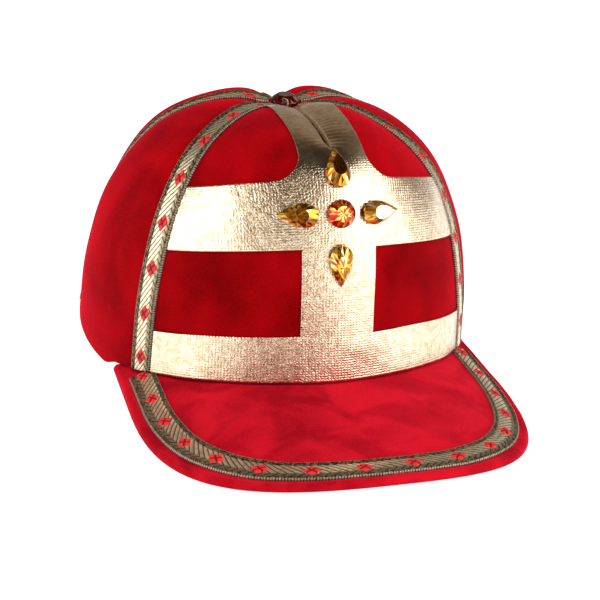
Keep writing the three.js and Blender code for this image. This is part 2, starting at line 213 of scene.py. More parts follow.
def puff(azimuth, t):
    """Each panel swells between its seams, as 4a(1 - a) across it and a late sine up it."""
    seams = np.array([0, FRONT_SEAM, REAR_SEAM, 180])
    around = fold(azimuth)
    k = np.clip(np.searchsorted(seams, around, side="right") - 1, 0, 2)
    across = (around - seams[k]) / (seams[k + 1] - seams[k])
    upper = np.where(k == 0, smoothstep(t, DART_FOOT, 1), 1)
    return PANEL_PUFF * upper * np.sin(np.pi * t ** PUFF_HEIGHT) * 4 * across * (1 - across)


def sink(azimuth, t, radius):
    """The valleys that the seams lie in: bell curves of the distance from each seam, which set in up the
    front seams and low down on the rear ones."""
    total = 0
    for seam, depth, start, full in VALLEYS:
        away = np.radians(np.abs(fold(azimuth) - seam)) * radius / VALLEY_WIDTH
        total = total + depth * smoothstep(t, start, full) * np.exp(-away ** 2)
    return total * (1 - smoothstep(t, VALLEY_LEAVES, 1))


TABLE_AZIMUTHS = np.linspace(0, 180, 361)
TABLE_WAYS = np.linspace(0, 1, 601)


def way_table():
    """For each azimuth and each share of the meridian's length, the Bezier parameter that gives it."""
    t = np.linspace(0, 1, 801)
    points, _ = smooth_crown(TABLE_AZIMUTHS[:, None], t[None, :])
    steps = np.linalg.norm(np.diff(points, axis=1), axis=-1)
    lengths = np.concatenate([np.zeros((len(steps), 1)), np.cumsum(steps, axis=1)], axis=1)
    shares = lengths / lengths[:, -1:]
    return np.array([np.interp(TABLE_WAYS, row, t) for row in shares]), lengths[:, -1]


WAY_TABLE, MERIDIAN_LENGTHS = way_table()
FRONT_LENGTH = MERIDIAN_LENGTHS[0]


def curve_parameter(azimuth, way):
    """The way table read between its four nearest entries."""
    a = fold(azimuth) / 180 * (len(TABLE_AZIMUTHS) - 1)
    w = np.clip(way, 0, 1) * (len(TABLE_WAYS) - 1)
    i = np.minimum(a.astype(int), len(TABLE_AZIMUTHS) - 2)
    j = np.minimum(w.astype(int), len(TABLE_WAYS) - 2)
    f, g = a - i, w - j
    near = WAY_TABLE[i, j] * (1 - g) + WAY_TABLE[i, j + 1] * g
    far = WAY_TABLE[i + 1, j] * (1 - g) + WAY_TABLE[i + 1, j + 1] * g
    return near * (1 - f) + far * f


def uneven(points, seed, shortest, longest, strength, count=14):
    """A sum of sine waves through space, with seeded directions and wavelengths between two lengths."""
    dice = np.random.default_rng(seed)
    directions = dice.normal(size=(count, 3))
    directions /= np.linalg.norm(directions, axis=1, keepdims=True)
    waves = directions * (2 * np.pi / dice.uniform(shortest, longest, (count, 1)))
    phases = dice.uniform(0, 2 * np.pi, count)
    return strength * np.sin(points @ waves.T + phases).sum(-1) / np.sqrt(count)


def crown_normal(azimuth, t):
    """The cross product of a small step round the crown and a small step up it."""
    along = smooth_crown(azimuth + 0.5, t)[0] - smooth_crown(azimuth - 0.5, t)[0]
    above = smooth_crown(azimuth, np.minimum(t + 0.01, 1))[0]
    up = above - smooth_crown(azimuth, np.maximum(t - 0.01, 0))[0]
    normal = np.cross(along, up)
    return normal / np.linalg.norm(normal, axis=-1, keepdims=True)


# The dart at the top of the front panel: a narrow groove between two soft lobes
DART_LOW = 97 * MM
DART_DEPTH = 2.2 * MM
DART_WIDTH = 0.75 * MM
LOBE_DEPTH = 1.3 * MM
LOBE_WIDTH = 4.6 * MM
SOFTNESS = 0.32 * MM


def crown(azimuth, way, offset=0.0):
    """The cloth's outer face, moved out by offset: the smooth crown, its panels' puff, the seams' valleys,
    the top's dimple, the dart's narrow groove and a slight unevenness that all layers share."""
    azimuth, way, offset = np.broadcast_arrays(azimuth, way, offset)
    azimuth, way = azimuth.astype(float), way.astype(float)
    t = curve_parameter(azimuth, way)
    point, climb = smooth_crown(azimuth, t)
    normal = crown_normal(azimuth, t)
    radius = np.maximum(np.hypot(point[..., 0], point[..., 1]), 1e-6)
    out = puff(azimuth, t) - sink(azimuth, t, radius)
    level = np.sqrt(np.maximum(0, 1 - climb * climb))
    from_dart = np.radians(fold(azimuth)) * radius
    dart = DART_DEPTH * np.exp(-(from_dart / DART_WIDTH) ** 2)
    dart += LOBE_DEPTH * np.exp(-(from_dart / LOBE_WIDTH) ** 2)
    dart *= smoothstep(way * FRONT_LENGTH, DART_LOW, DART_LOW + 9 * MM)
    away_from_ends = smoothstep(way, 0, 0.12) * (1 - smoothstep(way, 0.88, 1))
    soft = uneven(point, 3, 28 * MM, 60 * MM, SOFTNESS) * away_from_ends
    x = point[..., 0] * (1 + level * out / radius)
    y = point[..., 1] * (1 + level * out / radius)
    z = point[..., 2] + climb * out - DIMPLE_DEPTH * np.exp(-(radius / DIMPLE_RADIUS) ** 2)
    placed = np.stack([x, y, z], -1) + normal * (offset - dart + soft)[..., None]
    placed[..., 1] += AXIS_Y
    return placed


def crown_radius(azimuth, way):
    """The smooth crown's distance from its axis."""
    point, _ = smooth_crown(azimuth, curve_parameter(azimuth, way))
    return np.maximum(np.hypot(point[..., 0], point[..., 1]), 1e-6)


def angle_across(azimuth, way, width):
    """The angle about the crown's axis that a width on the cloth takes there."""
    return np.degrees(np.arctan2(width, crown_radius(azimuth, way)))


def way_at_radius(azimuth, radius):
    """How far up the meridian the crown has closed in to a radius."""
    ways = np.linspace(0.5, 1, 1001)
    return np.interp(-radius, -crown_radius(np.full(1001, float(azimuth)), ways), ways)


def way_at(height):
    return height / FRONT_LENGTH


# Meshes from grids

def build(name, vertices, face_sets, finishes, uv=None, finish_of_face=None):
    """One closed mesh from arrays of triangles and quads, turned so that its faces point outwards."""
    turned = 0.0
    for faces in face_sets:
        for k in range(1, faces.shape[1] - 1):
            a, b, c = vertices[faces[:, 0]], vertices[faces[:, k]], vertices[faces[:, k + 1]]
            turned += np.einsum("ij,ij->", a, np.cross(b, c))
    if turned < 0:
        face_sets = [faces[:, ::-1] for faces in face_sets]
    loops = np.concatenate([faces.ravel() for faces in face_sets]).astype(np.int32)
    sizes = np.concatenate([np.full(len(faces), faces.shape[1]) for faces in face_sets])
    mesh = bpy.data.meshes.new(name)
    mesh.vertices.add(len(vertices))
    mesh.vertices.foreach_set("co", np.asarray(vertices, np.float32).ravel())
    mesh.loops.add(len(loops))
    mesh.loops.foreach_set("vertex_index", loops)
    mesh.polygons.add(len(sizes))
    mesh.polygons.foreach_set("loop_start", np.concatenate([[0], np.cumsum(sizes)[:-1]]).astype(np.int32))
    mesh.polygons.foreach_set("use_smooth", np.ones(len(sizes), bool))
    for finish in finishes:
        mesh.materials.append(finish)
    if finish_of_face is not None:
        mesh.polygons.foreach_set("material_index", finish_of_face.astype(np.int32))
    mesh.update(calc_edges=True)
    if uv is not None:
        layer = mesh.uv_layers.new(name="cloth")
        layer.data.foreach_set("uv", np.asarray(uv[loops], np.float32).ravel())
    mesh.validate()
    piece = bpy.data.objects.new(name, mesh)
    bpy.context.scene.collection.objects.link(piece)
    return piece


def dress(piece, node):
    """The piece rides on the cap's one body and stands for its CAD node."""
    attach(piece, "root")
    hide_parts(node)
    return piece


def shell(name, outer, inner, finishes, uv=None, filled=None, round_steps=4):
    """Two sheets over a grid's filled cells, joined by a half-round wall round every border: at angle a the
    wall stands at the middle + cos a of the half thickness + sin a of it outwards."""
    columns, rows = outer.shape[0] - 1, outer.shape[1] - 1
    index = np.arange((columns + 1) * (rows + 1)).reshape(columns + 1, rows + 1)
    i, j = np.nonzero(np.ones((columns, rows), bool) if filled is None else filled)
    faces = np.stack([index[i, j], index[i + 1, j], index[i + 1, j + 1], index[i, j + 1]], 1)
    used, faces = np.unique(faces, return_inverse=True)
    faces = faces.reshape(-1, 4)
    top, bottom = outer.reshape(-1, 3)[used], inner.reshape(-1, 3)[used]
    count = len(used)
    edges = np.concatenate([faces[:, [k, (k + 1) % 4]] for k in range(4)])
    border = edges[~np.isin(edges[:, 0] * count + edges[:, 1], edges[:, 1] * count + edges[:, 0])]
    half = (top - bottom) / 2
    along = top[border[:, 1]] - top[border[:, 0]]
    along /= np.linalg.norm(along, axis=1, keepdims=True)
    sideways = np.cross(along, half[border[:, 0]])
    outward = np.zeros_like(top)
    np.add.at(outward, border[:, 0], sideways)
    np.add.at(outward, border[:, 1], sideways)
    rim = np.unique(border)
    size = np.linalg.norm(half[rim], axis=1, keepdims=True)
    outward = outward[rim] / np.linalg.norm(outward[rim], axis=1, keepdims=True) * size
    middle = (top[rim] + bottom[rim]) / 2
    angles = np.pi * np.arange(1, round_steps) / round_steps
    walls = [middle + np.cos(a) * half[rim] + np.sin(a) * outward for a in angles]
    place = np.zeros(count, int)
    place[rim] = np.arange(len(rim))
    start = [2 * count + k * len(rim) for k in range(round_steps - 1)]
    rings = [border] + [s + place[border] for s in start] + [count + border]
    quads = [np.stack([a[:, 1], a[:, 0], b[:, 0], b[:, 1]], 1) for a, b in zip(rings[:-1], rings[1:])]
    vertices = np.concatenate([top, bottom] + walls)
    all_faces = np.concatenate([faces, count + faces[:, ::-1]] + quads)
    inside = np.zeros(len(all_faces))
    if len(finishes) > 1:
        inside[len(faces):2 * len(faces)] = 1
    if uv is not None:
        flat = uv.reshape(-1, 2)[used]
        uv = np.concatenate([flat, flat] + [flat[rim]] * len(walls))
    return build(name, vertices, [all_faces], finishes, uv, inside)


def loft(name, sections, finish, uv=None):
    """A closed section carried along a path, with a fan over each end."""
    steps, around = sections.shape[:2]
    index = np.arange(steps * around).reshape(steps, around)
    here, there = index[:-1], index[1:]
    sides = np.stack([here, there, np.roll(there, -1, 1), np.roll(here, -1, 1)], -1).reshape(-1, 4)
    ends = np.stack([sections[0].mean(0), sections[-1].mean(0)])
    first = np.stack([np.full(around, steps * around), index[0], np.roll(index[0], -1)], 1)
    last = np.stack([np.full(around, steps * around + 1), np.roll(index[-1], -1), index[-1]], 1)
    vertices = np.concatenate([sections.reshape(-1, 3), ends])
    if uv is not None:
        uv = np.concatenate([uv.reshape(-1, 2), uv[0].mean(0)[None], uv[-1].mean(0)[None]])
    return build(name, vertices, [sides, first, last], [finish], uv)


# Materials

class Finish:
    """A material: one shader with its constants set on its sockets, and short ways to add patterns."""

    def __init__(self, name, constants):
        self.material = bpy.data.materials.new(name)
        self.material.use_nodes = True
        self.tree = self.material.node_tree
        self.shader = self.tree.nodes["Principled BSDF"]
        for socket, value in constants.items():
            self.shader.inputs[socket].default_value = value
        self.places = self.tree.nodes.new("ShaderNodeTexCoord")

    def add(self, kind, inputs, **settings):
        node = self.tree.nodes.new(kind)
        for name, value in settings.items():
            setattr(node, name, value)
        for key, value in inputs.items():
            if isinstance(value, bpy.types.NodeSocket):
                self.tree.links.new(value, node.inputs[key])
            else:
                node.inputs[key].default_value = value
        return node

    def math(self, operation, *values):
        return self.add("ShaderNodeMath", dict(enumerate(values)), operation=operation).outputs[0]

    def plus(self, value, other):
        return self.math("ADD", value, other)

    def minus(self, value, other):
        return self.math("SUBTRACT", value, other)

    def times(self, value, other):
        return self.math("MULTIPLY", value, other)

    def scaled(self, value, factor, added):
        return self.math("MULTIPLY_ADD", value, factor, added)

    def size(self, value):
        return self.math("ABSOLUTE", value)

    def sine(self, value):
        return self.math("SINE", value)

    def zigzag(self, value, reach):
        """Rises from 0 to reach and falls back, over and over."""
        return self.math("PINGPONG", value, reach)

    def noise(self, scale, detail=2.0, distortion=0.0, space="Object", stretch=(1, 1, 1)):
        spread = self.add("ShaderNodeMapping", {"Vector": self.places.outputs[space], "Scale": stretch})
        inputs = {"Vector": spread.outputs[0], "Scale": scale, "Detail": detail, "Distortion": distortion}
        return self.add("ShaderNodeTexNoise", inputs).outputs["Fac"]

    def blend(self, share, low, high):
        """A colour between two colours or colour sockets."""
        mix = self.add("ShaderNodeMix", {0: share, 6: low, 7: high}, data_type="RGBA", clamp_factor=True)
        return mix.outputs[2]

    def between(self, value, low, high):
        """The value's place between two limits, smoothed, from 0 to 1."""
        inputs = {"Value": value, "From Min": low, "From Max": high}
        return self.add("ShaderNodeMapRange", inputs, interpolation_type="SMOOTHSTEP").outputs[0]

    def feed(self, socket, value):
        self.tree.links.new(value, self.shader.inputs[socket])

    def bump(self, *layers):
        """Stacks height patterns, each with its distance and strength, into the shader's normal."""
        normal = None
        for height, distance, strength in layers:
            inputs = {"Height": height, "Distance": distance, "Strength": strength}
            if normal is not None:
                inputs["Normal"] = normal
            normal = self.add("ShaderNodeBump", inputs).outputs[0]
        self.feed("Normal", normal)


def rgb(red, green, blue):
    return (red, green, blue, 1.0)


def velvet(name, deep, bright, sheen, crush):
    """Pile cloth: patches where the pile leans, fine fibres and a faint twill, under a soft sheen."""
    finish = Finish(name, {
        "Roughness": 0.9, "Specular IOR Level": 0.02, "Sheen Weight": 0.75, "Sheen Roughness": 0.38,
        "Sheen Tint": sheen,
    })
    patches = finish.noise(26, 2.0, 0.5)
    crushed = finish.between(finish.noise(48, 2.0, 0.9), 0.36, 0.62)
    fibres = finish.noise(1500, 3.0)
    place = finish.add("ShaderNodeSeparateXYZ", {0: finish.places.outputs["Object"]})
    slant = finish.plus(place.outputs[0], finish.plus(place.outputs[1], place.outputs[2]))
    twill = finish.sine(finish.times(slant, 2 * np.pi / (1.5 * MM)))
    leaning = finish.between(patches, 0.3, 0.7)
    share = finish.scaled(crushed, crush, finish.times(leaning, 1 - crush))
    share = finish.scaled(fibres, 0.8, finish.plus(share, -0.4))
    share = finish.scaled(twill, 0.03, share)
    finish.feed("Base Color", finish.blend(share, deep, bright))
    finish.bump((patches, 3 * MM, 0.2), (fibres, 0.5 * MM, 0.4), (twill, 0.05 * MM, 0.4))
    return finish.material


def foil_cloth():
    """Champagne foil bonded to a woven cloth: the weave's threads, a fine crackle and a fan of creases tilt
    its surface. Above the crossbar it turns to smooth satin. A thin dark line down the dart's groove is
    painted shade."""
    finish = Finish("champagne foil cloth", {"Metallic": 1.0})
    cloth = finish.add("ShaderNodeSeparateXYZ", {0: finish.places.outputs["UV"]})
    across, up = cloth.outputs[0], cloth.outputs[1]
    warp = finish.sine(finish.times(across, 2 * np.pi / (1.3 * MM)))
    weft = finish.sine(finish.times(up, 2 * np.pi / (1.05 * MM)))
    weave = finish.math("MAXIMUM", warp, weft)
    crackle = finish.noise(330, 4.0, 1.0, "UV")
    grain = finish.noise(1300, 2.0, 0.3, "UV")
    satin = finish.between(up, SATIN_START, SATIN_FULL)
    # The creases run down over the left of the crossbar
    down = finish.times(finish.minus(CROSSBAR_HIGH, up), 1 / CREASE_HEIGHT)
    lean = finish.times(finish.math("POWER", finish.math("MAXIMUM", down, 0.0), 1.5), -CREASE_LEAN)
    crease = finish.plus(finish.plus(across, lean), CREASE_FOOT)
    crease = finish.scaled(finish.noise(120, 2.0, 0.0, "UV"), 2.5 * MM, crease)
    ridges = finish.between(finish.zigzag(crease, 0.9 * MM), 0.55 * MM, 0.85 * MM)
    ridges = finish.times(ridges, finish.between(finish.size(crease), 5.5 * MM, 2.5 * MM))
    above_low = finish.between(up, CROSSBAR_LOW - MM, CROSSBAR_LOW)
    below_high = finish.between(up, CROSSBAR_HIGH + 6 * MM, CROSSBAR_HIGH)
    ridges = finish.times(ridges, finish.times(above_low, below_high))
    worn = finish.between(finish.noise(60, 3.0, 0.8, "UV"), 0.35, 0.65)
    tone = finish.between(crackle, 0.3, 0.7)
    gold = finish.blend(tone, rgb(0.62, 0.47, 0.31), rgb(0.82, 0.69, 0.52))
    # Painted shade: the dart's narrow groove is drawn as a thin near-black line in the foil's colour
    dart = finish.between(finish.size(across), 0.6 * MM, 0.2 * MM)
    dart = finish.times(dart, finish.between(up, DART_LOW + MM, DART_LOW + 3 * MM))
    finish.feed("Base Color", finish.blend(dart, gold, rgb(0.035, 0.02, 0.012)))
    finish.feed("Roughness", finish.scaled(satin, 0.12, finish.scaled(worn, 0.08, 0.13)))
    rough_cloth = finish.scaled(satin, -0.8, 1.0)
    from_speckle = finish.size(finish.plus(across, SPECKLE_MIDDLE))
    speckled = finish.between(from_speckle, SPECKLE_REACH, 0.4 * SPECKLE_REACH)
    sparkle = finish.times(rough_cloth, finish.scaled(speckled, 1.6, 0.8))
    finish.bump(
        (ridges, 0.3 * MM, 0.8),
        (finish.times(crackle, rough_cloth), 0.25 * MM, 0.2),
        (finish.times(grain, sparkle), 0.25 * MM, 0.6),
        (finish.times(weave, rough_cloth), 0.07 * MM, 0.5))
    return finish.material


def braid_metal():
    """Gilt wires in the middle, antique corded edges and red silk diamonds, told apart by the braid's own
    coordinates: across in widths from its middle line and along in diamond pitches. The grooves between the
    wires are painted near black and the wires past their turn are painted darker, both painted shade."""
    finish = Finish("gilt braid with silk diamonds", {"Specular IOR Level": 0.3})
    cloth = finish.add("ShaderNodeSeparateXYZ", {0: finish.places.outputs["UV"]})
    place = finish.times(cloth.outputs[0], BRAID_WIDTH)
    across = finish.size(place)
    along = finish.zigzag(cloth.outputs[1], 0.5)
    from_turn = finish.size(finish.minus(place, WIRE_TURN))
    slanted = finish.times(from_turn, WIRE_SLANT / WIRE_PITCH)
    wire = finish.scaled(cloth.outputs[1], DIAMOND_PITCH / WIRE_PITCH, slanted)
    painted_groove_shade = finish.between(finish.zigzag(wire, 0.5), 0.17, 0.08)
    shaded = finish.between(place, WIRE_TURN - 0.5 * MM, WIRE_TURN + 0.4 * MM)
    from_middle = finish.times(across, 1 / DIAMOND_HALF_WIDTH)
    from_centre = finish.times(along, DIAMOND_PITCH / DIAMOND_HALF_LENGTH)
    edge = finish.plus(from_middle, from_centre)
    silk = finish.between(edge, 1.04, 0.98)
    seam = finish.between(finish.size(finish.minus(from_middle, from_centre)), 0.07, 0.26)
    corded = finish.between(across, BRAID_GROUND - 0.15 * MM, BRAID_GROUND + 0.15 * MM)
    tarnish = finish.noise(900, 3.0)
    gilt = finish.blend(finish.between(tarnish, 0.3, 0.55), rgb(0.50, 0.40, 0.25), rgb(0.82, 0.72, 0.52))
    gilt = finish.blend(finish.times(shaded, 0.75), gilt, rgb(0.16, 0.12, 0.06))
    # Painted shade: the grooves between the wires are drawn near black
    gilt = finish.blend(finish.times(painted_groove_shade, 0.9), gilt, rgb(0.045, 0.032, 0.014))
    rubbed = finish.between(tarnish, 0.42, 0.62)
    antique = finish.blend(rubbed, rgb(0.035, 0.024, 0.012), rgb(0.20, 0.15, 0.085))
    bead = finish.times(cloth.outputs[1], DIAMOND_PITCH / BEAD_PITCH)
    dots = finish.between(finish.zigzag(bead, 0.5), 0.2, 0.34)
    beads = finish.times(finish.between(across, 4.6 * MM, 4.85 * MM), dots)
    antique = finish.blend(finish.times(beads, 0.85), antique, rgb(0.38, 0.31, 0.24))
    metal = finish.blend(corded, gilt, antique)
    thread = finish.blend(seam, rgb(0.13, 0.001, 0.002), rgb(0.58, 0.014, 0.018))
    finish.feed("Base Color", finish.blend(silk, metal, thread))
    plain = finish.scaled(corded, -0.25, 0.88)
    finish.feed("Metallic", finish.times(plain, finish.minus(1.0, silk)))
    finish.feed("Roughness", finish.scaled(silk, 0.15, 0.35))
    finish.bump((finish.noise(2200, 1.0), 0.25 * MM, 0.3))
    return finish.material


def cut_glass(name, dark, middle, bright, glint):
    """A foil-backed stone under clear glass: each facet's colour comes from its seeded brightness, a painted
    reflection of the light in the foil behind, from dark through the stone's colours up to a painted glint.
    """
    finish = Finish(name, {
        "Metallic": 0.85, "Roughness": 0.16, "Coat Weight": 0.4, "Coat Roughness": 0.02, "Coat IOR": 1.5,
    })
    facet = finish.add("ShaderNodeAttribute", {}, attribute_name="facet").outputs["Fac"]
    ramp = finish.add("ShaderNodeValToRGB", {"Fac": facet})
    stops = ramp.color_ramp.elements
    stops[0].color, stops[1].color = dark, glint
    for place, colour in ((0.45, middle), (0.8, bright)):
        stops.new(place).color = colour
    finish.feed("Base Color", ramp.outputs[0])
    return finish.material


def plain_cloth(name, colour):
    """Cotton lining with a fine weave."""
    finish = Finish(name, {"Roughness": 0.9, "Specular IOR Level": 0.2})
    tone = finish.noise(90, 3.0)
    dark = rgb(*[0.75 * c for c in colour[:3]])
    finish.feed("Base Color", finish.blend(tone, dark, colour))
    finish.bump((finish.noise(2400, 1.0), 0.3 * MM, 0.4))
    return finish.material


CROWN_VELVET = velvet(
    "deep red velvet", rgb(0.125, 0.0002, 0.0006), rgb(0.31, 0.0008, 0.003), rgb(1.0, 0.02, 0.05), 0.15)
VISOR_VELVET = velvet(
    "crushed crimson velvet", rgb(0.20, 0.0006, 0.004), rgb(0.45, 0.005, 0.014), rgb(1.0, 0.04, 0.09), 0.45)
LINING = plain_cloth("red lining", rgb(0.22, 0.006, 0.012))
THREAD = plain_cloth("waxed thread", rgb(0.62, 0.47, 0.30))
FOIL_CLOTH = foil_cloth()
BRAID = braid_metal()
AMBER = cut_glass(
    "amber cut glass", rgb(0.025, 0.006, 0.0005), rgb(0.42, 0.13, 0.003),
    rgb(0.92, 0.46, 0.015), rgb(1.0, 0.92, 0.55))
RUBY = cut_glass(
    "ruby cut glass", rgb(0.06, 0.001, 0.001), rgb(0.50, 0.010, 0.003),
    rgb(0.95, 0.12, 0.008), rgb(1.0, 0.62, 0.10))
GARNET = cut_glass(
    "garnet cut glass", rgb(0.010, 0.001, 0.001), rgb(0.09, 0.002, 0.004),
    rgb(0.28, 0.008, 0.012), rgb(0.62, 0.45, 0.36))


# Crown panels

def velvet_panel(node, start, end, columns, rows):
    """A wall of cloth between two seams: columns spread evenly in azimuth, rows evenly up the cloth."""
    top = way_at_radius((start + end) / 2, TOP_HOLE_RADIUS)
    way = np.linspace(way_at(CLOTH / 2), top, rows + 1)[None, :]
    from_seam = CLOTH / 2 + 0.1 * MM
    low = start + angle_across(np.full_like(way, start), way, from_seam)
    high = end - angle_across(np.full_like(way, end), way, from_seam)
    azimuth = low + (high - low) * np.linspace(0, 1, columns + 1)[:, None]
    way = np.broadcast_to(way, azimuth.shape)
    # The cloth stays a little below the foil's narrow dart
    beside = np.exp(-(np.radians(fold(azimuth)) * crown_radius(azimuth, way) / (4 * MM)) ** 2)
    below = 0.9 * MM * beside * smoothstep(way * FRONT_LENGTH, DART_LOW - 6 * MM, DART_LOW + 2 * MM)
    outer, inner = crown(azimuth, way, -below), crown(azimuth, way, -CLOTH)
    piece = shell("velvet_" + node, outer, inner, [CROWN_VELVET, LINING])
    dress(piece, node)


velvet_panel("front_panel", -FRONT_SEAM, FRONT_SEAM, 236, 150)
velvet_panel("side_panel_right", FRONT_SEAM, REAR_SEAM, 70, 110)
velvet_panel("back_panel_right", REAR_SEAM, 180, 96, 110)
velvet_panel("back_panel_left", 180, 360 - REAR_SEAM, 96, 110)
velvet_panel("side_panel_left", 360 - REAR_SEAM, 360 - FRONT_SEAM, 70, 110)


# Braid

def braid_relief(across, along):
    """The braid's height over its back; along starts at a diamond's centre. Middle: a low dome with wires
    laid in a lopsided chevron, their phase (along + slant |across - turn|) / pitch. Edges: an inner
    twisted cord and an outer beaded one. Diamonds: four cushions, each the product of 1 minus the square of
    its two slanting coordinates."""
    side = np.abs(across)
    wires = np.sqrt(np.abs(np.sin(np.pi * (along + WIRE_SLANT * np.abs(across - WIRE_TURN)) / WIRE_PITCH)))
    middle = 0.6 * MM + 0.25 * MM * (1 - (side / BRAID_GROUND) ** 2) + 0.3 * MM * wires
    edge = np.full_like(side, 0.45 * MM)
    for centre, radius, twist, pitch in ((3.85, 0.52, 1.3, 1.5), (4.8, 0.5, 0.0, BEAD_PITCH / MM)):
        place = (side / MM - centre) / radius
        turns = np.abs(np.sin(np.pi * (along / MM + twist * (side / MM - centre)) / pitch))
        cord = np.sqrt(np.clip(1 - place ** 2, 0, 1)) * (0.72 + 0.28 * turns)
        edge = np.maximum(edge, (0.45 + 0.75 * cord) * MM)
    height = np.where(side < BRAID_GROUND, middle, edge)
    nearest = np.abs((along + DIAMOND_PITCH / 2) % DIAMOND_PITCH - DIAMOND_PITCH / 2)
    p = side / DIAMOND_HALF_WIDTH + nearest / DIAMOND_HALF_LENGTH
    q = side / DIAMOND_HALF_WIDTH - nearest / DIAMOND_HALF_LENGTH
    inside = (p < 1) & (np.abs(q) < 1)
    cushion = np.clip(1 - (2 * p - 1) ** 2, 0, 1) * np.clip(1 - (2 * np.abs(q) - 1) ** 2, 0, 1)
    return np.where(inside, (0.7 + 0.75 * cushion ** 0.35) * MM, height)


def braid_sections(steps, length, first, place):
    """The braid's section, relief above and a plain back below, at each step; place(across, along, lift)
    gives the points, and the first diamond's centre is first along. Beads notch the two edges. Gives the
    sections and their braid coordinates."""
    face = np.linspace(-1, 1, 45)
    across = np.concatenate([face, np.linspace(1, -1, 7)]) * BRAID_WIDTH / 2
    along = np.linspace(0, length, steps + 1)[:, None]
    across, along = np.broadcast_arrays(across[None, :], along)
    at_edge = np.abs(across) > 0.47 * BRAID_WIDTH
    notch = 1 - 0.025 * np.cos(np.pi * (along - first) / BEAD_PITCH) ** 2 * at_edge
    lift = np.where(np.arange(across.shape[1]) < len(face), braid_relief(across, along - first), 0)
    uv = np.stack([across / BRAID_WIDTH, (along - first) / DIAMOND_PITCH], -1)
    return place(across * notch, along, lift), uv


def seam_braid(node, seam, first=DIAMOND_FIRST):
    """A braid laid over a seam, from just above the hem to the crown stone."""
    foot, top = way_at(BRAID_FOOT), way_at_radius(seam, BRAID_TOP_RADIUS)
    length = np.interp(fold(seam), TABLE_AZIMUTHS, MERIDIAN_LENGTHS) * (top - foot)

    def place(across, along, lift):
        way = foot + (top - foot) * along / length
        half = np.minimum(angle_across(np.full_like(way, seam), way, BRAID_WIDTH / 2), BRAID_SPREAD)
        return crown(seam + half * across / (BRAID_WIDTH / 2), way, BRAID_CLEAR + lift)

    sections, uv = braid_sections(int(length / (0.19 * MM)), length, first, place)
    dress(loft("trim_" + node, sections, BRAID, uv), node)


seam_braid("braid_front_right", FRONT_SEAM, DIAMOND_FIRST_RIGHT)
seam_braid("braid_front_left", -FRONT_SEAM)
seam_braid("braid_rear_right", REAR_SEAM)
seam_braid("braid_rear_left", -REAR_SEAM)
seam_braid("braid_back", 180.0)


# Gold foil cross

def foil_folds(across, up):
    """The foil's own small relief: soft buckles, and fine wrinkles that leave the dart at right angles."""
    flat = np.stack([across, up, np.zeros_like(up)], -1)
    buckles = uneven(flat, 11, 10 * MM, 30 * MM, 0.07 * MM)
    beside = np.exp(-(across / (9 * MM)) ** 2) * smoothstep(up, DART_LOW - 4 * MM, DART_LOW + 6 * MM)
    phase = 2 * np.pi * (up + 0.3 * np.abs(across)) / (2.6 * MM) + 4 * buckles / MM
    return 0.2 * MM + buckles + 0.07 * MM * np.sin(phase) * beside


